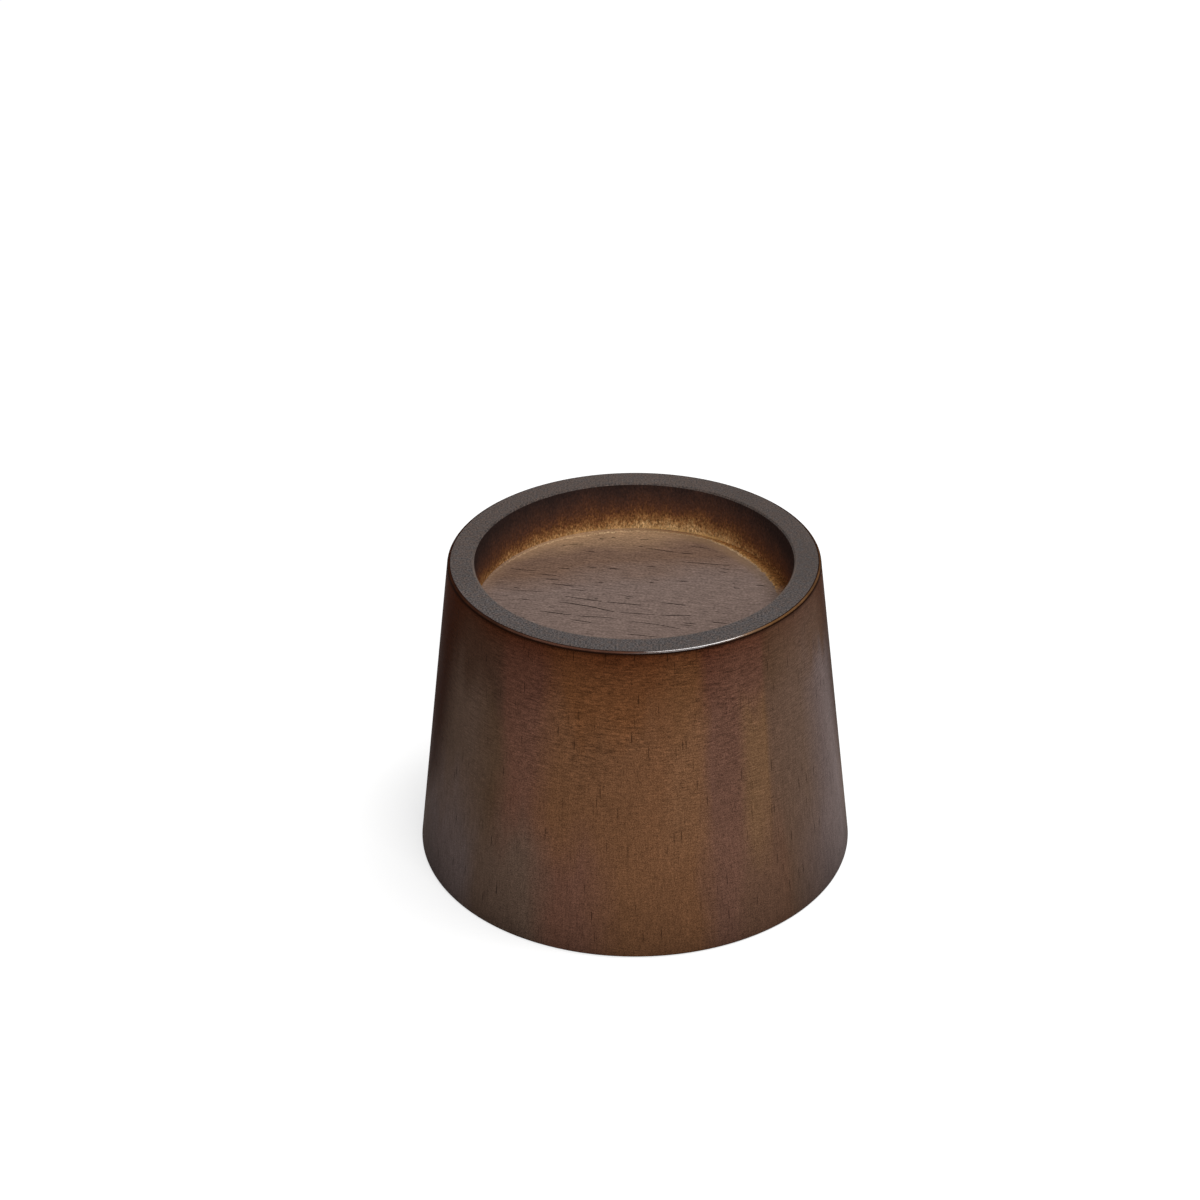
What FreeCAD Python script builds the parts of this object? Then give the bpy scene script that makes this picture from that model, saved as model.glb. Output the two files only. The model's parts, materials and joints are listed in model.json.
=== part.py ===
import FreeCAD, Part
import math
import os

# A bed riser: a round wooden block that stands under one leg of a bed and lifts it.
# It is turned from one piece of wood. The side widens straight down to the foot, and
# the top has a flat rim round a shallow recess that keeps the leg from sliding off.
# Millimetres. The origin is the centre of the foot, and +Z is the axis of the turning.

# Sizes that set what the riser takes and how far it lifts.
recess_diameter = 78.0
recess_depth = 13.0
lift_height = 67.0

# Sizes that set the outer form.
rim_wall = 6.5
foot_spread = 9.5

# Breaks on the edges.
outer_rim_round = 0.8
inner_rim_chamfer = 0.4
foot_round = 0.8

# Sizes that follow from those above.
recess_radius = recess_diameter / 2
rim_radius = recess_radius + rim_wall
foot_radius = rim_radius + foot_spread
total_height = lift_height + recess_depth
side_length = math.hypot(foot_spread, total_height)
side_lean = math.atan2(foot_spread, total_height)


def point(radius, height):
    """A point of the turned profile, in the XZ plane."""
    return FreeCAD.Vector(radius, 0, height)


def side_point(way_up):
    """The point of the side this far up from the foot, measured along the side."""
    return point(
        foot_radius - way_up * math.sin(side_lean),
        way_up * math.cos(side_lean),
    )


def corner_reach(round_radius, corner_angle):
    """How far a round of this radius reaches along each side of its corner."""
    return round_radius / math.tan(corner_angle / 2)


def corner_round(start, corner, end, round_radius, corner_angle):
    """The arc that rounds a corner, from where it leaves one side to where it meets the other."""
    inward = ((start - corner).normalize() + (end - corner).normalize()).normalize()
    centre = corner + inward * (round_radius / math.sin(corner_angle / 2))
    middle = centre - inward * round_radius
    return Part.Arc(start, middle, end).toShape()


def turned_profile():
    """Half of the section through the axis: foot, side, rim, recess wall and recess floor."""
    foot_angle = math.pi / 2 - side_lean
    rim_angle = math.pi / 2 + side_lean
    foot_reach = corner_reach(foot_round, foot_angle)
    rim_reach = corner_reach(outer_rim_round, rim_angle)

    foot_middle = point(0, 0)
    foot_edge = point(foot_radius - foot_reach, 0)
    foot_corner = point(foot_radius, 0)
    side_bottom = side_point(foot_reach)
    side_top = side_point(side_length - rim_reach)
    rim_corner = point(rim_radius, total_height)
    rim_outside = point(rim_radius - rim_reach, total_height)
    rim_inside = point(recess_radius + inner_rim_chamfer, total_height)
    wall_top = point(recess_radius, total_height - inner_rim_chamfer)
    wall_bottom = point(recess_radius, lift_height)
    floor_middle = point(0, lift_height)

    return Part.Wire([
        Part.makeLine(foot_middle, foot_edge),
        corner_round(foot_edge, foot_corner, side_bottom, foot_round, foot_angle),
        Part.makeLine(side_bottom, side_top),
        corner_round(side_top, rim_corner, rim_outside, outer_rim_round, rim_angle),
        Part.makeLine(rim_outside, rim_inside),
        Part.makeLine(rim_inside, wall_top),
        Part.makeLine(wall_top, wall_bottom),
        Part.makeLine(wall_bottom, floor_middle),
        Part.makeLine(floor_middle, foot_middle),
    ])


def riser_body():
    """The whole riser: the profile turned once round the axis."""
    section = Part.Face(turned_profile())
    centre = FreeCAD.Vector(0, 0, 0)
    up = FreeCAD.Vector(0, 0, 1)
    return section.revolve(centre, up, 360)


os.makedirs("parts", exist_ok=True)
riser_body().exportStep("parts/riser_body.step")
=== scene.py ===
import json
import math
import random

import bpy
import numpy as np
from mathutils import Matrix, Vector, geometry


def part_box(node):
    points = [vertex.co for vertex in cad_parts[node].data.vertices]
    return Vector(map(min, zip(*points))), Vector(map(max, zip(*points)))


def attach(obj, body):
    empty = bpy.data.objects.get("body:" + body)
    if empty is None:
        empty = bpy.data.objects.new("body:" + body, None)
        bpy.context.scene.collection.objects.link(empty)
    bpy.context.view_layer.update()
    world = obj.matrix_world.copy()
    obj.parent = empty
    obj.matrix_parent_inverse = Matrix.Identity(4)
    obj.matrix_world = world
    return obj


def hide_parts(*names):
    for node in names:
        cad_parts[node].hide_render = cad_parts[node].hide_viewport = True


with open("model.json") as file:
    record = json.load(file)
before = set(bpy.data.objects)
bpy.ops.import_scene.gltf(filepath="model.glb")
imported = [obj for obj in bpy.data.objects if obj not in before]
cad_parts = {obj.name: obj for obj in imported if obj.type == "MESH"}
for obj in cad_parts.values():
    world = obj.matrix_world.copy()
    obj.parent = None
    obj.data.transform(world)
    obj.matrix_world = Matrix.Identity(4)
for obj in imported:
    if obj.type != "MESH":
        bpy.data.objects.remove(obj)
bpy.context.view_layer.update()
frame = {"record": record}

# A wooden bed riser, turned in one piece, on a white floor. Lengths are in metres unless a
# name or a comment says millimetres. Angles run round the axis from the front, in degrees,
# and grow to the right.
MM = 0.001

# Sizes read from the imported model.
MOUNTS = {mount["name"]: mount for mount in frame["record"]["mounts"]}
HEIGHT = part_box("riser_body")[1][2]
RECESS_RADIUS = MOUNTS["recess"]["dims"]["r_mm"] * MM
RECESS_FLOOR = MOUNTS["recess_floor"]["pos_m"][2]

# Sizes that the part's source sets.
RIM_WALL = 6.5 * MM
FOOT_SPREAD = 9.5 * MM
RIM_ROUND = 0.8 * MM
RIM_CHAMFER = 0.4 * MM
FOOT_ROUND = 0.8 * MM
RIM_RADIUS = RECESS_RADIUS + RIM_WALL
FOOT_RADIUS = RIM_RADIUS + FOOT_SPREAD
SIDE_LEAN = math.atan2(FOOT_SPREAD, HEIGHT)

# How finely the turned surfaces are divided, round the axis and along each part of the profile.
SEGMENTS = 384
FOOT_STEPS = 12
SIDE_STEPS = 40
ROUND_STEPS = 6
RIM_STEPS = 6
WALL_STEPS = 14

# Edges sharper than this are shaded as edges.
SHARP_ANGLE = math.radians(30)

# The surfaces of the riser, in the order of their material slots.
SIDE, EDGE, RIM, WALL, FLOOR, FOOT = range(6)

# The open pores of the recess floor, in millimetres. They follow the grain, which leans a
# little, and their width and depth vary between two bounds.
PORE_SEED = 7
GRAIN_LEAN = math.radians(-11)
PORE_WIDTH = (0.28, 0.42)
PORE_DEPTH = (0.2, 0.34)
PORE_STEP = 0.9
PORE_CLEARANCE = 0.6
POREY_RADIUS = 37.0

# How far the heading of a pore may turn from one of its points to the next, in radians, how
# bluntly it tapers, where 0 is square ends, and how much of its width it keeps on the way.
PORE_WANDER = 0.04
PORE_TAPER = 0.3
PORE_FULLNESS = (0.8, 1.0)

# Where each long pore starts, and its length. It shows as a chain of shorter links.
LONG_PORES = [
    (-17.7, 3.6, 21.0),
    (6.0, 0.2, 7.0),
    (-19.0, 0.7, 34.0),
    (-23.6, -3.7, 19.5),
    (-1.5, -8.9, 13.5),
    (-2.3, -15.0, 8.0),
    (-15.7, -8.0, 6.0),
    (11.0, -10.6, 3.6),
    (18.5, -9.3, 4.5),
    (-31.5, 17.7, 7.0),
    (-31.5, 6.9, 9.5),
    (-24.0, 14.8, 5.0),
    (-22.5, 12.4, 4.5),
    (-21.0, 10.0, 7.0),
    (10.2, 11.2, 3.8),
    (4.3, 11.8, 2.4),
    (11.0, 21.0, 14.0),
    (2.7, 28.2, 13.0),
    (14.0, 29.2, 6.0),
    (-17.0, 30.4, 4.6),
    (1.0, 33.0, 3.6),
]
LINK_LENGTH = (7.0, 18.0)
LINK_GAP = (0.2, 0.5)
LINK_SHIFT = 0.12

# How many short pores are scattered between the long ones, and their length.
SHORT_PORES = 44
SHORT_LENGTH = (1.2, 4.0)

# The flat page, in millimetres, on which the surfaces lie side by side for baked textures.
# The recess floor is drawn a little smaller there, so that it stays clear of the rim.
PAGE_WIDTH = 271.0
PAGE_HEIGHT = 202.0
PAGE_MARGIN = 1.5
FLOOR_ON_PAGE = 0.96


# Shape

def circle(radius):
    """Places round a circle, from the front and on to the right."""
    turns = np.arange(SEGMENTS) * 2 * math.pi / SEGMENTS
    return [(radius * math.sin(t), -radius * math.cos(t)) for t in turns]


def rounded_corner(radius, height, round_radius, start_angle, end_angle):
    """Points of the arc that rounds a corner of the profile, between two surface directions."""
    half = (end_angle - start_angle) / 2
    to_centre = round_radius / math.cos(half)
    middle = start_angle + half
    centre_radius = radius - to_centre * math.cos(middle)
    centre_height = height - to_centre * math.sin(middle)
    angles = np.linspace(start_angle, end_angle, ROUND_STEPS + 1)
    return [
        (centre_radius + round_radius * math.cos(a), centre_height + round_radius * math.sin(a))
        for a in angles
    ]


def stretch(start, end, steps):
    """Points between two points of the profile, without the two themselves."""
    shares = np.linspace(0, 1, steps + 1)[1:-1]
    return [tuple(np.array(start) * (1 - s) + np.array(end) * s) for s in shares]


def turned_rings():
    """The profile from the foot to the corner of the recess: (radius, height, surface) for each
    ring, where the surface is the one that leads up to the ring."""
    up = math.pi / 2
    foot_arc = rounded_corner(FOOT_RADIUS, 0, FOOT_ROUND, -up, SIDE_LEAN)
    rim_arc = rounded_corner(RIM_RADIUS, HEIGHT, RIM_ROUND, SIDE_LEAN, up)
    rim_inside = (RECESS_RADIUS + RIM_CHAMFER, HEIGHT)
    wall_top = (RECESS_RADIUS, HEIGHT - RIM_CHAMFER)
    corner = (RECESS_RADIUS, RECESS_FLOOR)
    surfaces = [
        (FOOT, stretch((0, 0), foot_arc[0], FOOT_STEPS) + foot_arc[:1]),
        (SIDE, foot_arc[1:] + stretch(foot_arc[-1], rim_arc[0], SIDE_STEPS) + rim_arc[:1]),
        (EDGE, rim_arc[1:]),
        (RIM, stretch(rim_arc[-1], rim_inside, RIM_STEPS) + [rim_inside, wall_top]),
        (WALL, stretch(wall_top, corner, WALL_STEPS) + [corner]),
    ]
    return [(radius, height, surface) for surface, run in surfaces for radius, height in run]


def turned_surface(rings):
    """The turned part of the mesh, from the middle of the foot to the corner of the recess."""
    points = [(0.0, 0.0, 0.0)]
    for radius, height, _ in rings:
        points += [(x, y, height) for x, y in circle(radius)]
    after = [(j + 1) % SEGMENTS for j in range(SEGMENTS)]
    faces = [(0, 1 + after[j], 1 + j) for j in range(SEGMENTS)]
    surfaces = [FOOT] * SEGMENTS
    for i in range(1, len(rings)):
        low = 1 + (i - 1) * SEGMENTS
        high = low + SEGMENTS
        faces += [(low + j, low + after[j], high + after[j], high + j) for j in range(SEGMENTS)]
        surfaces += [rings[i][2]] * SEGMENTS
    return points, faces, surfaces


def pore_line(rng, x, y, length):
    """One pore of the recess floor: for each point of its wandering line, the place, the half
    width and the depth."""
    steps = max(3, round(length / PORE_STEP))
    heading = GRAIN_LEAN + rng.uniform(-PORE_WANDER, PORE_WANDER)
    half_width = rng.uniform(*PORE_WIDTH) / 2
    line = []
    for i in range(steps + 1):
        taper = max(0.0, math.sin(math.pi * i / steps)) ** PORE_TAPER
        width_here = half_width * taper * rng.uniform(*PORE_FULLNESS)
        line.append((x, y, width_here, rng.uniform(*PORE_DEPTH)))
        heading += rng.uniform(-PORE_WANDER, PORE_WANDER)
        x += length / steps * math.cos(heading)
        y += length / steps * math.sin(heading)
    return line


def pore_chain(rng, x, y, length):
    """A long pore, which shows as a few shorter ones with small gaps."""
    end = x + length * math.cos(GRAIN_LEAN)
    pores = []
    while x < end - PORE_STEP:
        part = min(rng.uniform(*LINK_LENGTH), (end - x) / math.cos(GRAIN_LEAN))
        pores.append(pore_line(rng, x, y, part))
        x, y = pores[-1][-1][:2]
        x += rng.uniform(*LINK_GAP)
        y += rng.uniform(-LINK_SHIFT, LINK_SHIFT)
    return pores


def clear_of(line, others):
    """Whether a pore stays inside the porey part of the floor and off the other pores."""
    for x, y, _, _ in line:
        if math.hypot(x, y) > POREY_RADIUS:
            return False
        for other in others:
            for u, v, _, _ in other:
                if abs(x - u) < PORE_STEP and abs(y - v) < PORE_CLEARANCE:
                    return False
    return True


def floor_pores():
    """All the pores: the long ones in their places, and short ones scattered between them."""
    rng = random.Random(PORE_SEED)
    pores = []
    for x, y, length in LONG_PORES:
        chain = pore_chain(rng, x, y, length)
        pores += [pore for pore in chain if clear_of(pore, pores)]
    goal = len(pores) + SHORT_PORES
    while len(pores) < goal:
        x = rng.uniform(-POREY_RADIUS, POREY_RADIUS)
        y = rng.uniform(-POREY_RADIUS, POREY_RADIUS)
        pore = pore_line(rng, x, y, rng.uniform(*SHORT_LENGTH))
        if clear_of(pore, pores):
            pores.append(pore)
    return pores


def pore_outline(line):
    """The two sides of a pore, without its end points."""
    left, right = [], []
    for before, (x, y, half_width, _), after in zip(line, line[1:], line[2:]):
        along = Vector(after[:2]) - Vector(before[:2])
        across = Vector((-along.y, along.x)).normalized()
        left.append(Vector((x, y)) + across * half_width)
        right.append(Vector((x, y)) - across * half_width)
    return left, right


def recess_floor():
    """The round floor with its pores sunk into it, in millimetres: the places of its points, how
    deep each is sunk, its faces, and for each point the outline points that it stands for. The
    first outline points are those of the floor's own circle."""
    points = [Vector(place) for place in circle(RECESS_RADIUS / MM)]
    sunk = [0.0] * SEGMENTS
    edges = [(i, (i + 1) % SEGMENTS) for i in range(SEGMENTS)]
    for line in floor_pores():
        left, right = pore_outline(line)
        first = len(points)
        points += [Vector(line[0][:2])] + left + [Vector(line[-1][:2])] + right[::-1]
        count = len(points) - first
        sunk += [0.0] * count
        edges += [(first + i, first + (i + 1) % count) for i in range(count)]
        spine = len(points)
        points += [Vector(p[:2]) for p in line[1:-1]]
        inner = len(points) - spine
        sunk += [p[3] for p in line[1:-1]]
        edges += [(spine + i, spine + i + 1) for i in range(inner - 1)]
    # Output type 0 fills the whole hull of the outline, which is the floor's circle.
    placed, _, faces, origins, _, _ = geometry.delaunay_2d_cdt(points, edges, [], 0, 1e-6)
    depths = [max((sunk[o] for o in origin), default=0.0) for origin in origins]
    return placed, depths, faces, origins


def add_recess_floor(points, faces, surfaces):
    """Closes the turned surface with the recess floor. Returns how deep each point is sunk."""
    corner_ring = len(points) - SEGMENTS
    sinking = [0.0] * len(points)
    placed, depths, floor_faces, origins = recess_floor()
    index = []
    for spot, depth, origin in zip(placed, depths, origins):
        on_circle = [o for o in origin if o < SEGMENTS]
        if on_circle:
            index.append(corner_ring + on_circle[0])
            continue
        index.append(len(points))
        points.append((spot.x * MM, spot.y * MM, RECESS_FLOOR - depth * MM))
        sinking.append(depth)
    faces += [tuple(index[i] for i in face) for face in floor_faces]
    surfaces += [FLOOR] * len(floor_faces)
    return sinking


def values_of(items, name, kind, width=1):
    """One property of all the points, corners or faces of a mesh, as an array."""
    values = np.empty(width * len(items), kind)
    items.foreach_get(name, values)
    return values.reshape(-1, width) if width > 1 else values


def lay_strips(spots, surface, behind, angle, way):
    """Unrolls the side with its edge, and above it the wall, each as a front and a back strip."""
    middle = PAGE_MARGIN + FOOT_RADIUS / MM * math.pi / 2
    bottom = PAGE_MARGIN
    for kinds, radius in (((SIDE, EDGE), FOOT_RADIUS / MM), ((WALL,), RECESS_RADIUS / MM)):
        chosen = np.isin(surface, kinds)
        up = way[chosen] - way[chosen].min()
        row = up.max() + PAGE_MARGIN
        spots[chosen, 0] = middle + angle[chosen] * radius
        spots[chosen, 1] = bottom + up + behind[chosen] * row
        bottom += 2 * row


def lay_discs(spots, surface, x, y):
    """Puts the foot beside the strips, and above it the rim with the recess floor inside it. The
    foot is seen from below, and is made as small as the rim."""
    rim = RIM_RADIUS / MM
    middle = 2 * PAGE_MARGIN + FOOT_RADIUS / MM * math.pi + rim
    low = PAGE_MARGIN + rim
    high = low + PAGE_MARGIN + 2 * rim
    foot_scale = RIM_RADIUS / FOOT_RADIUS
    for kind, centre, across, upward in (
        (RIM, high, 1.0, 1.0),
        (FLOOR, high, FLOOR_ON_PAGE, FLOOR_ON_PAGE),
        (FOOT, low, -foot_scale, foot_scale),
    ):
        chosen = surface == kind
        spots[chosen, 0] = middle + across * x[chosen]
        spots[chosen, 1] = centre + upward * y[chosen]


def lay_flat(mesh, rings):
    """Gives every corner of the mesh a spot of its own on the page for baked textures."""
    corners = values_of(mesh.loops, "vertex_index", int)
    counts = values_of(mesh.polygons, "loop_total", int)
    surface = np.repeat(values_of(mesh.polygons, "material_index", int), counts)
    behind = np.repeat(values_of(mesh.polygons, "center", float, 3)[:, 1] > 0, counts)
    x, y, _ = values_of(mesh.vertices, "co", float, 3)[corners].T / MM
    angle = np.where(behind, np.arctan2(-x, y), np.arctan2(x, -y))

    profile = np.array([(radius, height) for radius, height, _ in rings]) / MM
    steps = np.hypot(*np.diff(profile, axis=0).T)
    way = np.concatenate([[0.0], np.cumsum(steps)])
    ring = np.clip((corners - 1) // SEGMENTS, 0, len(rings) - 1)

    spots = np.empty((len(corners), 2))
    lay_strips(spots, surface, behind, angle, way[ring])
    lay_discs(spots, surface, x, y)
    page = mesh.uv_layers.new(name="OFBake")
    page.data.foreach_set("uv", (spots / (PAGE_WIDTH, PAGE_HEIGHT)).ravel())


def build_riser():
    """The whole riser as one closed mesh: the turned surfaces and the porous recess floor."""
    rings = turned_rings()
    points, faces, surfaces = turned_surface(rings)
    sinking = add_recess_floor(points, faces, surfaces)
    mesh = bpy.data.meshes.new("turned_riser")
    mesh.from_pydata(points, [], faces)
    mesh.polygons.foreach_set("material_index", surfaces)
    mesh.attributes.new("sinking", "FLOAT", "POINT").data.foreach_set("value", sinking)
    mesh.shade_smooth()
    mesh.set_sharp_from_angle(angle=SHARP_ANGLE)
    lay_flat(mesh, rings)
    riser = bpy.data.objects.new("turned_riser", mesh)
    bpy.context.scene.collection.objects.link(riser)
    return riser


# Material nodes

def linear(red, green, blue):
    """A colour written as it looks on a screen, 0 to 255, as the light values that shaders take."""
    def channel(value):
        share = value / 255
        return share / 12.92 if share <= 0.04045 else ((share + 0.055) / 1.055) ** 2.4
    return (channel(red), channel(green), channel(blue), 1.0)


class Wood:
    """One procedural material, with short calls that add its nodes. Places are millimetres."""

    def __init__(self, name):
        self.material = bpy.data.materials.new(name)
        self.material.use_nodes = True
        self.tree = self.material.node_tree
        self.tree.nodes.clear()
        output = self.node("ShaderNodeOutputMaterial")
        self.shader = self.node("ShaderNodeBsdfPrincipled")
        self.link(self.shader.outputs["BSDF"], output.inputs["Surface"])
        coordinates = self.node("ShaderNodeTexCoord").outputs["Object"]
        self.place = self.stretched(coordinates, (1 / MM, 1 / MM, 1 / MM))
        axes = self.node("ShaderNodeSeparateXYZ")
        self.link(self.place, axes.inputs[0])
        self.x, self.y, self.z = axes.outputs
        turn = self.math("ARCTAN2", self.x, self.negative(self.y))
        self.angle = self.math("DEGREES", turn)
        squares = self.math("MULTIPLY_ADD", self.x, self.x, self.times(self.y, self.y))
        self.radius = self.math("SQRT", squares)

    def node(self, kind, **settings):
        made = self.tree.nodes.new(kind)
        for name, value in settings.items():
            setattr(made, name, value)
        return made

    def link(self, source, socket):
        self.tree.links.new(source, socket)

    def feed(self, socket, value):
        """Sets a socket to a number or colour, or links it to another node's output."""
        if isinstance(value, bpy.types.NodeSocket):
            self.link(value, socket)
        elif isinstance(value, tuple):
            socket.default_value = value[:len(socket.default_value)]
        else:
            socket.default_value = value

    def math(self, operation, first, second=0.0, third=0.0):
        made = self.node("ShaderNodeMath", operation=operation)
        for socket, value in zip(made.inputs, (first, second, third)):
            self.feed(socket, value)
        return made.outputs[0]

    def negative(self, value):
        return self.math("MULTIPLY", value, -1.0)

    def plus(self, *values):
        total = values[0]
        for value in values[1:]:
            total = self.math("ADD", total, value)
        return total

    def times(self, *values):
        product = values[0]
        for value in values[1:]:
            product = self.math("MULTIPLY", product, value)
        return product

    def stretched(self, vector, factors):
        made = self.node("ShaderNodeVectorMath", operation="MULTIPLY")
        self.link(vector, made.inputs[0])
        self.feed(made.inputs[1], factors)
        return made.outputs[0]

    def turned(self, angle):
        """The place turned about the axis, so that a texture can run along a leaning grain."""
        made = self.node("ShaderNodeVectorRotate", rotation_type="Z_AXIS")
        self.link(self.place, made.inputs["Vector"])
        made.inputs["Angle"].default_value = angle
        return made.outputs[0]

    def unrolled(self):
        """The place on the side laid flat: the way round it and the height."""
        made = self.node("ShaderNodeCombineXYZ")
        way_round = self.math("MULTIPLY", self.angle, math.radians(1) * FOOT_RADIUS / MM)
        self.link(way_round, made.inputs[0])
        self.link(self.z, made.inputs[1])
        return made.outputs[0]

    def noise(self, factors, detail=2.0, roughness=0.5, seed=0.0, place=None):
        """A noise between 0 and 1, mostly near 0.5, with this many waves a millimetre."""
        made = self.node("ShaderNodeTexNoise", noise_dimensions="4D")
        self.link(self.stretched(place or self.place, factors), made.inputs["Vector"])
        made.inputs["W"].default_value = seed
        made.inputs["Scale"].default_value = 1.0
        made.inputs["Detail"].default_value = detail
        made.inputs["Roughness"].default_value = roughness
        return made.outputs["Fac"]

    def dashes(self, factors, size, keep, place):
        """Short strokes of varied strength: one in each stretched cell, of which a share is kept."""
        made = self.node("ShaderNodeTexVoronoi", voronoi_dimensions="2D")
        self.link(self.stretched(place, factors), made.inputs["Vector"])
        made.inputs["Scale"].default_value = 1.0
        stroke = self.remap(made.outputs["Distance"], size, size / 2)
        chance = self.node("ShaderNodeSeparateXYZ")
        self.link(made.outputs["Color"], chance.inputs[0])
        kept = self.math("LESS_THAN", chance.outputs[0], keep)
        return self.times(stroke, kept, self.remap(chance.outputs[1], 0.0, 1.0, 0.35, 1.0))

    def remap(self, value, low, high, to_low=0.0, to_high=1.0, smooth=False):
        made = self.node("ShaderNodeMapRange")
        made.interpolation_type = "SMOOTHSTEP" if smooth else "LINEAR"
        self.feed(made.inputs["Value"], value)
        made.inputs["From Min"].default_value = low
        made.inputs["From Max"].default_value = high
        made.inputs["To Min"].default_value = to_low
        made.inputs["To Max"].default_value = to_high
        return made.outputs["Result"]

    def blend(self, factor, first, second):
        """A mix of two colours. Inputs 6 and 7 and output 2 are the node's sockets for colours."""
        made = self.node("ShaderNodeMix", data_type="RGBA")
        self.feed(made.inputs["Factor"], factor)
        self.feed(made.inputs[6], first)
        self.feed(made.inputs[7], second)
        return made.outputs[2]

    def shade(self, colour, factor):
        """The colour made lighter or darker by a factor."""
        made = self.node("ShaderNodeVectorMath", operation="SCALE")
        self.feed(made.inputs[0], colour)
        self.feed(made.inputs["Scale"], factor)
        return made.outputs[0]

    def mottled(self, colour, texture, spread, amount):
        """The colour made darker and lighter by up to an amount, which a noise reaches where it
        is this far from its middle."""
        swing = self.remap(texture, 0.5 - spread, 0.5 + spread, -1.0, 1.0)
        return self.shade(colour, self.math("MULTIPLY_ADD", swing, amount, 1.0))

    def ramp(self, value, stops):
        """Colours or grey levels along a value, with each stop given at its own value."""
        low, high = stops[0][0], stops[-1][0]
        made = self.node("ShaderNodeValToRGB")
        elements = made.color_ramp.elements
        elements.remove(elements[1])
        for count, (at, colour) in enumerate(stops):
            element = elements[0] if count == 0 else elements.new(1.0)
            element.position = (at - low) / (high - low)
            element.color = colour if isinstance(colour, tuple) else (colour, colour, colour, 1.0)
        self.link(self.remap(value, low, high), made.inputs["Fac"])
        return made.outputs["Color"]

    def relief(self, height, depth_mm, normal=None):
        made = self.node("ShaderNodeBump")
        made.inputs["Distance"].default_value = depth_mm * MM
        self.feed(made.inputs["Height"], height)
        if normal is not None:
            self.link(normal, made.inputs["Normal"])
        return made.outputs["Normal"]

    def finish(self, colour, roughness, ior, normal):
        self.feed(self.shader.inputs["Base Color"], colour)
        self.feed(self.shader.inputs["Roughness"], roughness)
        self.shader.inputs["IOR"].default_value = ior
        self.link(normal, self.shader.inputs["Normal"])
        return self.material


# Tones of the stained wood, as they look under plain light.
AMBER = linear(112, 77, 53)
DEEP_AMBER = linear(110, 72, 45)
BRIGHT_AMBER = linear(115, 81, 57)
DEEP_BRIGHT_AMBER = linear(112, 77, 50)
STRAW = linear(112, 83, 60)
MAUVE = linear(96, 65, 53)
PALE_MAUVE = linear(103, 73, 60)
ROSE = linear(106, 73, 59)
OLIVE = linear(91, 69, 53)
SOFT_OLIVE = linear(97, 74, 60)
TAUPE_OLIVE = linear(98, 78, 66)
RUSSET = linear(99, 72, 57)
# Painted sheen: grey-lilac tones that stand for the reflection of the pale surroundings on the
# lacquer.
PAINTED_SHEEN_LILAC = linear(103, 88, 84)
PAINTED_PALE_SHEEN = linear(118, 104, 101)
# Painted shade: olive darkened under the rim on the left side.
SHADED_OLIVE = linear(77, 58, 47)
DARK_RED = linear(48, 24, 13)
DEEP_STAIN = linear(68, 31, 13)
EDGE_SHADE = linear(30, 15, 9)
CHARCOAL = linear(60, 55, 54)
WARM_CHARCOAL = linear(66, 54, 48)
INNER_EDGE_GLINT = linear(100, 84, 74)
TAUPE = linear(107, 91, 84)
BROWN = linear(101, 79, 66)
TAN = linear(127, 101, 79)
HONEY = linear(144, 115, 87)
GOLD = linear(100, 70, 42)
SEAM_HIGHLIGHT_GOLD = linear(205, 162, 104)
LINE_HIGHLIGHT = linear(210, 178, 138)
BARE_WOOD = linear(92, 68, 52)

# How little the satin lacquer shines, and the matt end grain.
LACQUER_IOR = 1.025
MATT_IOR = 1.3

# The bands of the stain round the side, as angles where each tone starts and ends: under the
# rim, half way up, and at the foot. The grey-lilac tones at the flanks are painted sheen, a
# reflection of the pale surroundings. The grey-olive ones there are partly stain and partly
# painted sheen, and the sharp steps at about 40 degrees to either side are the edges of that
# sheen. The darker olive under the rim at the left is painted shade. The sides that the
# photograph hides go on in the same way.
CROWN_BANDS = [
    (-180, MAUVE), (-160, AMBER), (-130, AMBER), (-112, OLIVE), (-70, SHADED_OLIVE),
    (-41.5, SHADED_OLIVE), (-38, MAUVE), (-28, MAUVE), (-22, DEEP_AMBER), (6, DEEP_AMBER),
    (12, DEEP_BRIGHT_AMBER), (17.5, DEEP_BRIGHT_AMBER), (20.5, MAUVE), (30, PALE_MAUVE),
    (40.2, PALE_MAUVE), (40.9, OLIVE), (60, TAUPE_OLIVE), (95, OLIVE), (125, AMBER), (150, MAUVE),
    (180, MAUVE),
]
MIDDLE_BANDS = [
    (-180, MAUVE), (-158, AMBER), (-130, AMBER), (-112, OLIVE), (-70, TAUPE_OLIVE),
    (-52, TAUPE_OLIVE), (-42.5, OLIVE), (-37, ROSE), (-30, ROSE), (-21, AMBER), (6, AMBER),
    (12, BRIGHT_AMBER), (17.5, BRIGHT_AMBER), (21, PALE_MAUVE), (29, PALE_MAUVE), (33, STRAW),
    (40.2, STRAW), (40.9, SOFT_OLIVE), (55, TAUPE_OLIVE), (66, PAINTED_SHEEN_LILAC), (76, PAINTED_PALE_SHEEN),
    (95, OLIVE), (125, AMBER), (150, MAUVE), (180, MAUVE),
]
FOOT_BANDS = [
    (-180, MAUVE), (-165, AMBER), (-130, AMBER), (-105, OLIVE), (-70, PAINTED_SHEEN_LILAC), (-54, PAINTED_SHEEN_LILAC),
    (-46, TAUPE_OLIVE), (-30, TAUPE_OLIVE), (-21, ROSE), (-13, ROSE), (-4, AMBER), (15, AMBER),
    (23, PALE_MAUVE), (27, PALE_MAUVE), (31, RUSSET), (43.5, RUSSET), (46, SOFT_OLIVE),
    (62, PAINTED_SHEEN_LILAC), (76, PAINTED_PALE_SHEEN), (95, OLIVE), (125, AMBER), (150, MAUVE), (180, MAUVE),
]

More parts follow.
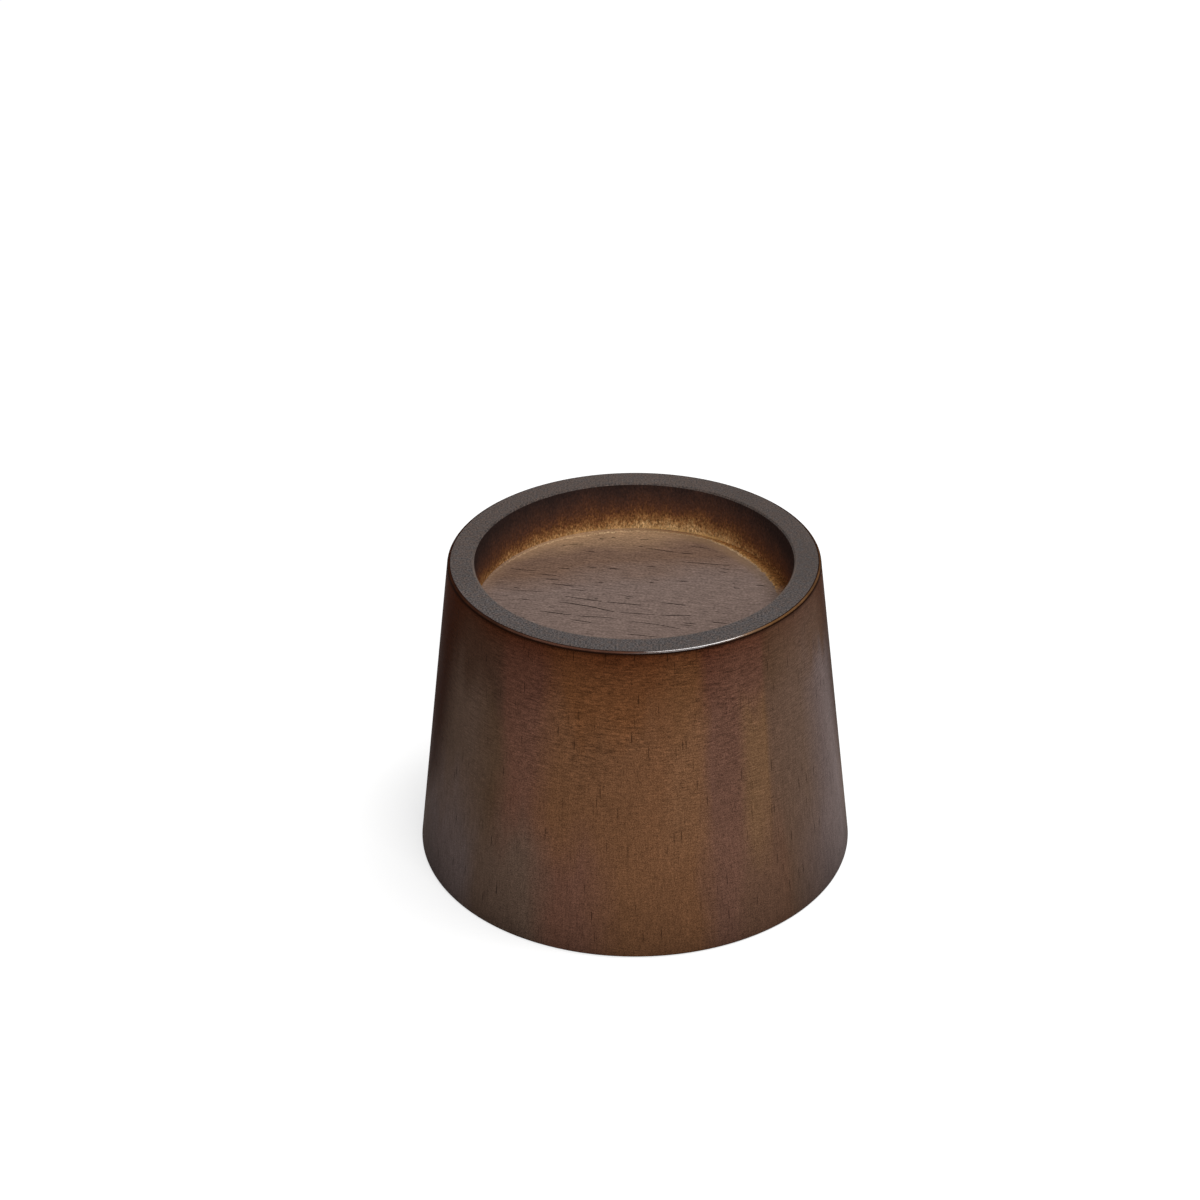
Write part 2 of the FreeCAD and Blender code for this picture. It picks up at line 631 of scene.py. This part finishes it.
# The worn crest of the rim's outer edge, by angle.
WORN_EDGE = [
    (-180, DARK_RED),
    (-90, DARK_RED),
    (-45, linear(50, 30, 21)),
    (-30, linear(82, 54, 42)),
    (-15, linear(70, 42, 30)),
    (2, linear(72, 44, 31)),
    (20, linear(44, 26, 18)),
    (36, GOLD),
    (72, linear(88, 62, 40)),
    (110, DARK_RED),
    (180, DARK_RED),
]

# The gold in the corner of the recess, in millimetres: up the wall from the floor, and on the
# floor outwards from the bright line, where at the right it darkens towards the wall as painted
# shade.
WALL_GOLD = [
    (-2.0, linear(200, 164, 116)),
    (-1.5, linear(200, 164, 116)),
    (0.2, linear(172, 134, 90)),
    (2.2, linear(140, 99, 60)),
    (4.2, linear(106, 68, 42)),
    (6.6, linear(84, 54, 40)),
    (10.0, linear(65, 45, 38)),
    (13.0, linear(48, 36, 33)),
]
FLOOR_GOLD_SHADE = [
    (0.0, linear(168, 130, 86)),
    (0.8, linear(148, 106, 62)),
    (1.5, linear(136, 92, 52)),
    (2.2, linear(130, 85, 47)),
    (3.2, linear(120, 78, 44)),
    (4.0, linear(120, 78, 44)),
]

# How far the dark of the wall reaches down towards the floor, by angle, from 0 to 1. The gold
# climbs higher where this is low.
DARK_REACH = [
    (-180, 0.2), (-170, 0.32), (-160, 0.3), (-150, 0.42), (-135, 0.55), (-120, 0.6), (-100, 0.7),
    (100, 0.95), (120, 0.85), (130, 0.5), (140, 0.18), (150, 0.05), (170, 0.08), (180, 0.2),
]

# Where the bright line, a painted highlight, runs on the outermost millimetres of the recess
# floor, by angle: 0 is furthest in, 1 is at the wall.
LINE_RANGE = 4.0
LINE_PLACE = [
    (-180, 0.57), (-160, 0.55), (-150, 0.75), (-130, 0.75), (-110, 0.9), (100, 0.12), (120, 0.2),
    (130, 0.3), (140, 0.52), (150, 0.7), (165, 0.6), (180, 0.57),
]

# How strong things are by angle: the glow on the floor inside the bright line, the gold with
# painted shade outside it, the line itself, which is a painted highlight, the bright seam on the
# wall, also a painted highlight, and the polish of the rim's edge.
GLOW_STRENGTH = [
    (-180, 0.0), (-165, 0.15), (-145, 0.5), (-125, 0.25), (-75, 0.0), (90, 0.0), (112, 0.25),
    (135, 0.7), (155, 0.65), (180, 0.1),
]
OUTSIDE_STRENGTH = [
    (-180, 0.0), (95, 0.0), (104, 1.0), (145, 1.0), (158, 0.4), (176, 0.0), (180, 0.0),
]
LINE_STRENGTH = [
    (-180, 0.6), (-170, 0.9), (-160, 0.4), (-150, 0.6), (-130, 0.45), (-110, 0.1), (-95, 0.0),
    (108, 0.0), (120, 0.4), (132, 0.9), (145, 0.8), (160, 0.4), (180, 0.6),
]
SEAM_STRENGTH = [
    (-180, 0.2), (-160, 0.3), (-145, 0.0), (138, 0.0), (148, 0.9), (168, 1.0), (180, 0.2),
]
POLISH_STRENGTH = [
    (-180, 0.0), (-40, 0.0), (-2, 0.1), (10, 0.75), (20, 1.0), (28, 1.0), (36, 0.5), (44, 0.0),
    (180, 0.0),
]

# How light and how speckled the rim is, by angle: both least at the right.
RIM_TONE = [
    (-180, 0.86), (-90, 0.86), (-50, 1.0), (50, 1.0), (85, 0.73), (130, 0.8), (180, 0.86),
]
RIM_SPECKLE = [(-180, 0.7), (-90, 0.86), (-50, 1.0), (50, 0.95), (85, 0.55), (180, 0.7)]


# Finishes of the riser

def side_bands(wood):
    """The tone of each place on the side, by its angle and height."""
    uneven = wood.remap(wood.noise((0.1, 0.1, 0.03), detail=3.0, seed=3.0), 0.25, 0.75, -9.0, 9.0)
    height = wood.plus(wood.z, uneven)
    wobble = wood.remap(wood.noise((0.1, 0.1, 0.04), detail=3.0, seed=7.0), 0.3, 0.7, -2.0, 2.0)
    straighter = wood.remap(wood.angle, 15.0, 38.0, 1.0, 0.2)
    angle = wood.plus(wood.angle, wood.times(wobble, straighter))
    tone = wood.blend(
        wood.remap(height, 56.0, 70.0, smooth=True),
        wood.ramp(angle, MIDDLE_BANDS),
        wood.ramp(angle, CROWN_BANDS),
    )
    low = wood.remap(height, 40.0, 16.0, smooth=True)
    return wood.blend(low, tone, wood.ramp(angle, FOOT_BANDS))


def painted_dark_flanks(wood, tone):
    """The dark red left and right of the riser, painted shade and painted dark reflection near the
    silhouettes, which narrow from the rim towards the foot and fade again towards the back."""
    right = wood.remap(wood.angle, -20.0, 20.0)
    off_front = wood.math("ABSOLUTE", wood.plus(wood.angle, -4.0))
    edge = wood.ramp(wood.z, [(0, 1.0), (12, 0.9), (20, 0.82), (30, 0.74), (45, 0.7), (80, 0.65)])
    past_edge = wood.math("SUBTRACT", off_front, wood.times(edge, 100.0))
    past_edge = wood.plus(past_edge, wood.times(right, -2.5))
    towards_back = wood.plus(off_front, wood.times(right, 6.0))
    strength = wood.times(
        wood.remap(past_edge, -6.0, 9.0, smooth=True),
        wood.remap(towards_back, 86.0, 112.0, 1.0, 0.0, smooth=True),
        wood.remap(right, 0.0, 1.0, 1.0, 0.72),
    )
    # Painted shade and dark reflection at the flanks.
    return wood.blend(strength, tone, DARK_RED)


def side_tone(wood, clouds):
    """The stain of the side, with the darker stain under the rim, which is weaker at the right,
    painted shade at the foot, and a band of painted shade just under the rim's rounded edge."""
    tone = painted_dark_flanks(wood, side_bands(wood))
    tone = wood.mottled(tone, clouds, 0.2, 0.08)
    uneven = wood.plus(wood.z, wood.remap(clouds, 0.3, 0.7, -1.5, 1.5))
    depth = wood.ramp(uneven, [
        (0, 0.0),
        (44, 0.0),
        (60, 0.1),
        (68, 0.25),
        (74, 0.45),
        (80, 0.88),
    ])
    eased = wood.math(
        "MAXIMUM",
        wood.remap(wood.angle, 36.0, 46.0, 1.0, 0.6, smooth=True),
        wood.remap(wood.angle, 110.0, 170.0, 0.6, 1.0, smooth=True),
    )
    tone = wood.blend(wood.times(depth, eased), tone, DEEP_STAIN)
    # Painted shade: darker towards the foot, and in a band just under the rounded edge of the rim.
    return wood.shade(tone, wood.ramp(wood.z, [
        (0, 0.55),
        (3, 0.66),
        (8, 0.8),
        (16, 0.92),
        (28, 1.0),
        (78.5, 1.0),
        (79.2, 0.5),
        (80, 0.5),
    ]))


def side_material():
    """The lacquered side: bands of stain with upright fibre, fine speckle, level ripples from
    the turning, and small pores."""
    wood = Wood("side_lacquer")
    clouds = wood.noise((0.06, 0.06, 0.04), detail=3.0, seed=5.0)
    patches = wood.noise((0.09, 0.09, 0.07), detail=2.0, seed=8.0)
    fine = wood.noise((4.0, 4.0, 4.0), detail=1.0, roughness=0.7, seed=4.0)
    ripples = wood.noise((0.45, 0.45, 2.6), detail=2.0, roughness=0.7, seed=2.0)
    fibre = wood.noise((2.0, 2.0, 0.06), detail=3.0, roughness=0.6, seed=1.0)
    pores = wood.dashes((1.1, 0.085, 1.0), 0.17, 0.15, wood.unrolled())
    facing = wood.remap(wood.math("ABSOLUTE", wood.angle), 28.0, 52.0, 1.0, 0.6, smooth=True)
    turning = wood.times(
        wood.remap(wood.z, 20.0, 60.0, 0.3, 1.0),
        wood.remap(patches, 0.35, 0.6, 0.5, 1.0, smooth=True),
        facing,
    )

    tone = side_tone(wood, clouds)
    tone = wood.mottled(tone, fine, 0.16, wood.times(facing, 0.42))
    tone = wood.mottled(tone, fibre, 0.2, wood.remap(wood.z, 60.0, 30.0, 0.068, 0.17))
    tone = wood.mottled(tone, ripples, 0.2, wood.times(turning, 0.52))
    tone = wood.shade(tone, wood.remap(pores, 0.0, 1.0, 1.0, 0.27))

    relief = wood.relief(wood.times(ripples, turning), 0.03)
    relief = wood.relief(fine, 0.02, relief)
    relief = wood.relief(wood.negative(pores), 0.05, relief)
    roughness = wood.remap(clouds, 0.3, 0.7, 0.46, 0.56)
    return wood.finish(tone, roughness, LACQUER_IOR, relief)


def edge_material():
    """The rounded outer edge of the rim: worn along its crest, dark with painted shade off the
    crest, and polished at the front right.
    """
    wood = Wood("edge_lacquer")
    patches = wood.noise((0.25, 0.25, 0.25), detail=3.0, seed=6.0)
    down = wood.math("SUBTRACT", HEIGHT / MM, wood.z)
    crest = wood.times(
        wood.remap(down, 0.4, 0.22, smooth=True),
        wood.remap(down, 0.01, 0.07, smooth=True),
    )
    worn = wood.ramp(wood.angle, WORN_EDGE)
    worn = wood.shade(worn, wood.remap(patches, 0.35, 0.65, 0.75, 1.2))
    # Painted shade: off its crest the edge is dark.
    tone = wood.blend(crest, EDGE_SHADE, worn)
    polish = wood.times(wood.ramp(wood.angle, POLISH_STRENGTH), wood.remap(down, 0.38, 0.24))
    wood.feed(wood.shader.inputs["Coat Weight"], polish)
    wood.shader.inputs["Coat Roughness"].default_value = 0.06
    wood.shader.inputs["Coat IOR"].default_value = 1.8
    return wood.finish(tone, 0.5, LACQUER_IOR, wood.relief(patches, 0.02))


def rim_material():
    """The flat rim: dark grey, speckled end grain, with a painted highlight along its inner edge in
    front.
    """
    wood = Wood("rim_end_grain")
    speckle = wood.noise((2.2, 2.2, 2.2), detail=2.0, roughness=0.8)
    clouds = wood.noise((0.08, 0.08, 0.08), detail=2.0, seed=1.0)
    stains = wood.noise((0.7, 0.7, 0.7), detail=2.0, seed=3.0)
    warm = wood.plus(
        wood.remap(stains, 0.35, 0.65, -0.4, 0.4),
        wood.remap(wood.y, -30.0, 20.0, 0.25, 0.85),
    )
    tone = wood.blend(wood.remap(warm, 0.0, 1.0), CHARCOAL, WARM_CHARCOAL)
    tone = wood.shade(tone, wood.ramp(wood.angle, RIM_TONE))
    tone = wood.mottled(tone, speckle, 0.14, wood.times(wood.ramp(wood.angle, RIM_SPECKLE), 1.15))
    tone = wood.mottled(tone, clouds, 0.2, 0.12)
    # Painted highlight: a light grey line along the inner edge in front, where the chamfer catches
    # the light.
    past_wall = wood.math("SUBTRACT", wood.radius, RECESS_RADIUS / MM)
    inner = wood.times(
        wood.remap(past_wall, 0.7, 0.35),
        wood.remap(wood.y, 8.0, -8.0, 0.0, 0.5),
    )
    tone = wood.blend(inner, tone, INNER_EDGE_GLINT)
    return wood.finish(tone, 0.65, MATT_IOR, wood.relief(speckle, 0.08))


def wall_material():
    """The recess wall: dark at the top and gold where it meets the floor, with painted light towards
    the right and a painted highlight along the seam.
    """
    wood = Wood("recess_wall")
    strokes = wood.noise((2.1, 2.1, 1.1), detail=2.0, roughness=0.7)
    patches = wood.noise((0.2, 0.2, 0.12), detail=3.0, seed=2.0)
    glints = wood.noise((2.2, 2.2, 1.4), detail=2.0, roughness=0.7, seed=4.0)
    up = wood.math("SUBTRACT", wood.z, RECESS_FLOOR / MM)
    lift = wood.plus(
        up,
        wood.remap(wood.ramp(wood.angle, DARK_REACH), 0.0, 1.0, -1.0, 3.5),
        wood.remap(strokes, 0.35, 0.65, -1.4, 1.4),
        wood.remap(patches, 0.3, 0.7, -1.2, 1.2),
    )
    tone = wood.ramp(lift, WALL_GOLD)
    # Painted light: the wall lighter towards the right, and more so at its right end.
    tone = wood.shade(tone, wood.remap(wood.x, -39.0, 39.0, 0.92, 1.18))
    tone = wood.shade(tone, wood.remap(wood.x, 26.0, 38.0, 1.0, 1.3, smooth=True))
    tone = wood.mottled(tone, glints, 0.16, wood.remap(lift, 2.0, 8.0, 0.6, 0.26))
    # Painted highlight: a bright gold seam where the wall meets the floor.
    seam = wood.times(
        wood.remap(up, 0.7, 0.35),
        wood.remap(patches, 0.35, 0.55),
        wood.ramp(wood.angle, SEAM_STRENGTH),
    )
    tone = wood.blend(seam, tone, SEAM_HIGHLIGHT_GOLD)
    return wood.finish(tone, 0.6, LACQUER_IOR, wood.relief(strokes, 0.08))


def floor_edge_light_and_shade(wood, tone):
    """The edge of the recess floor: warmer towards the wall, with a broken bright line, a painted
    highlight, where the gold of the wall ends. At the right that line runs a little way in on the
    floor, and outside it the floor is gold, with painted shade towards the wall."""
    floor_radius = RECESS_RADIUS / MM
    line_place = wood.ramp(wood.angle, LINE_PLACE)
    line_radius = wood.remap(line_place, 0.0, 1.0, floor_radius - LINE_RANGE, floor_radius)
    past_line = wood.math("SUBTRACT", wood.radius, line_radius)
    near_line = wood.remap(past_line, -4.0, -0.3, smooth=True)
    tone = wood.blend(wood.times(near_line, wood.ramp(wood.angle, GLOW_STRENGTH)), tone, HONEY)

    uneven = wood.noise((1.2, 1.2, 1.2), detail=3.0, roughness=0.7, seed=4.0)
    past_line = wood.plus(past_line, wood.remap(uneven, 0.3, 0.7, -0.5, 0.5))
    specks = wood.noise((1.9, 1.9, 1.9), detail=3.0, roughness=0.8, seed=9.0)
    glints = wood.noise((1.6, 1.6, 1.6), detail=2.0, roughness=0.7, seed=4.0)
    ragged = wood.plus(past_line, wood.remap(specks, 0.35, 0.65, -0.7, 0.7))
    # Painted shade: outside the line at the right, gold that darkens towards the wall.
    outside = wood.mottled(wood.ramp(ragged, FLOOR_GOLD_SHADE), glints, 0.16, 0.58)
    strength = wood.times(
        wood.remap(past_line, 0.0, 0.3),
        wood.ramp(wood.angle, OUTSIDE_STRENGTH),
    )
    tone = wood.blend(strength, tone, outside)

    # Painted highlight: the broken bright line.
    line = wood.times(
        wood.remap(wood.math("ABSOLUTE", past_line), 0.4, 0.1),
        wood.remap(specks, 0.43, 0.57),
        wood.ramp(wood.angle, LINE_STRENGTH),
    )
    return wood.blend(line, tone, LINE_HIGHLIGHT)


def floor_material():
    """The recess floor: taupe long grain with dark pores, browner and then honey at the back, with
    painted light towards its right edge.
    """
    wood = Wood("recess_floor")
    along = wood.turned(-GRAIN_LEAN)
    clouds = wood.noise((0.05, 0.09, 0.05), detail=3.0, seed=2.0)
    fibre = wood.noise((0.16, 2.4, 1.0), detail=4.0, roughness=0.7, place=along)
    wrinkles = wood.noise((0.32, 1.3, 1.0), detail=2.0, roughness=0.7, seed=3.0, place=along)
    fine = wood.noise((1.5, 2.4, 1.0), detail=1.0, seed=3.0, place=along)
    flecks = wood.dashes((0.12, 1.3, 1.0), 0.14, 0.25, along)
    back = wood.plus(
        wood.y,
        wood.remap(clouds, 0.3, 0.7, -3.0, 3.0),
        wood.times(wood.x, -0.15),
    )
    tone = wood.ramp(back, [
        (-40, TAUPE),
        (9, TAUPE),
        (21, BROWN),
        (26, BROWN),
        (32, TAN),
        (38, HONEY),
        (40, HONEY),
    ])
    # Painted light: the floor lighter towards its right edge.
    tone = wood.shade(tone, wood.remap(wood.x, 22.0, 38.0, 1.0, 1.2, smooth=True))
    tone = wood.mottled(tone, fibre, 0.16, 0.26)
    tone = wood.mottled(tone, wrinkles, 0.16, 0.16)
    tone = wood.mottled(tone, fine, 0.16, 0.24)
    tone = wood.shade(tone, wood.remap(flecks, 0.0, 1.0, 1.0, 0.5))
    tone = floor_edge_light_and_shade(wood, tone)
    sinking = wood.node("ShaderNodeAttribute", attribute_name="sinking").outputs["Fac"]
    tone = wood.shade(tone, wood.remap(sinking, 0.0, 0.04, 1.0, 0.05))
    return wood.finish(tone, 0.6, LACQUER_IOR, wood.relief(fibre, 0.05))


def foot_material():
    """The underside: bare, speckled end grain."""
    wood = Wood("foot_end_grain")
    speckle = wood.noise((1.8, 1.8, 1.8), detail=5.0, roughness=0.7)
    tone = wood.mottled(BARE_WOOD, speckle, 0.2, 0.4)
    return wood.finish(tone, 0.7, MATT_IOR, wood.relief(speckle, 0.05))


# Stage, light and camera

# How far the white floor reaches, how pale it is to the light that bounces off it, how far it is
# lifted towards white where it is seen, and how bright the studio is round the object.
STAGE_HALF = 1.3
STAGE_PAINT = 0.4
STAGE_LIFT = 0.66
AMBIENT = 0.3

# The photograph's camera, as fitted to the rim, the recess and the foot.
CAMERA_PLACE = (0.0, -0.5582, 0.3872)
CAMERA_AIM = (-0.00842, 0.0, 0.06787)
CAMERA_ROLL = math.radians(-0.595)
LENS_MM = 78.43
SENSOR_MM = 36.0


def build_stage():
    """The white floor, which is no part of the riser."""
    half = STAGE_HALF
    corners = [(-half, -half, 0), (half, -half, 0), (half, half, 0), (-half, half, 0)]
    mesh = bpy.data.meshes.new("white_floor")
    mesh.from_pydata(corners, [], [(0, 1, 2, 3)])
    mesh.materials.append(stage_paint())
    ground = bpy.data.objects.new("white_floor", mesh)
    bpy.context.scene.collection.objects.link(ground)


def seen_directly(tree):
    """1 for what the camera sees straight, in a reflection or through glass, otherwise 0."""
    path = tree.nodes.new("ShaderNodeLightPath")
    seen = path.outputs["Is Camera Ray"]
    for kind in ("Is Glossy Ray", "Is Transmission Ray"):
        either = tree.nodes.new("ShaderNodeMath")
        either.operation = "MAXIMUM"
        tree.links.new(seen, either.inputs[0])
        tree.links.new(path.outputs[kind], either.inputs[1])
        seen = either.outputs[0]
    return seen


def stage_paint():
    """Pale paint that takes the object's shadow, lifted towards white where it is seen."""
    paint = bpy.data.materials.new("white_floor")
    paint.use_nodes = True
    tree = paint.node_tree
    shader = tree.nodes["Principled BSDF"]
    shader.inputs["Base Color"].default_value = (STAGE_PAINT, STAGE_PAINT, STAGE_PAINT, 1.0)
    shader.inputs["Roughness"].default_value = 1.0
    shader.inputs["IOR"].default_value = 1.0
    shader.inputs["Emission Color"].default_value = (1.0, 1.0, 1.0, 1.0)
    lift = tree.nodes.new("ShaderNodeMath")
    lift.operation = "MULTIPLY"
    lift.inputs[1].default_value = STAGE_LIFT
    tree.links.new(seen_directly(tree), lift.inputs[0])
    tree.links.new(lift.outputs[0], shader.inputs["Emission Strength"])
    return paint


def build_world():
    """Soft light from all round, and plain white where the background is seen."""
    world = bpy.data.worlds.new("studio")
    world.use_nodes = True
    tree = world.node_tree
    background = tree.nodes["Background"]
    background.inputs["Color"].default_value = (1.0, 1.0, 1.0, 1.0)
    strength = tree.nodes.new("ShaderNodeMapRange")
    strength.inputs["To Min"].default_value = AMBIENT
    strength.inputs["To Max"].default_value = 1.0
    tree.links.new(seen_directly(tree), strength.inputs["Value"])
    tree.links.new(strength.outputs["Result"], background.inputs["Strength"])
    bpy.context.scene.world = world


def softbox(name, place, size, power):
    """A rectangular lamp that faces the middle of the riser."""
    lamp = bpy.data.lights.new(name, "AREA")
    lamp.shape = "RECTANGLE"
    lamp.size, lamp.size_y = size
    lamp.energy = power
    box = bpy.data.objects.new(name, lamp)
    box.location = place
    facing = Vector((0.0, 0.0, HEIGHT / 2)) - Vector(place)
    box.rotation_euler = facing.to_track_quat("-Z", "Y").to_euler()
    bpy.context.scene.collection.objects.link(box)


def build_lights():
    softbox("top_box", place=(0.64, 0.12, 2.1), size=(0.5, 1.1), power=30.0)
    softbox("front_box", place=(0.7, -2.0, 1.8), size=(2.0, 1.4), power=46.0)


def build_camera():
    lens = bpy.data.cameras.new("camera")
    lens.lens = LENS_MM
    lens.sensor_width = SENSOR_MM
    camera = bpy.data.objects.new("camera", lens)
    camera.location = CAMERA_PLACE
    facing = Vector(CAMERA_AIM) - camera.location
    camera.rotation_euler = facing.to_track_quat("-Z", "Y").to_euler()
    camera.rotation_euler.rotate_axis("Z", CAMERA_ROLL)
    bpy.context.scene.collection.objects.link(camera)
    bpy.context.scene.camera = camera


riser = build_riser()
finishes = (
    side_material, edge_material, rim_material, wall_material, floor_material, foot_material,
)
for finish in finishes:
    riser.data.materials.append(finish())
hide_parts("riser_body")
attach(riser, "root")
build_stage()
build_world()
build_lights()
build_camera()
bpy.context.scene.view_settings.view_transform = "Standard"
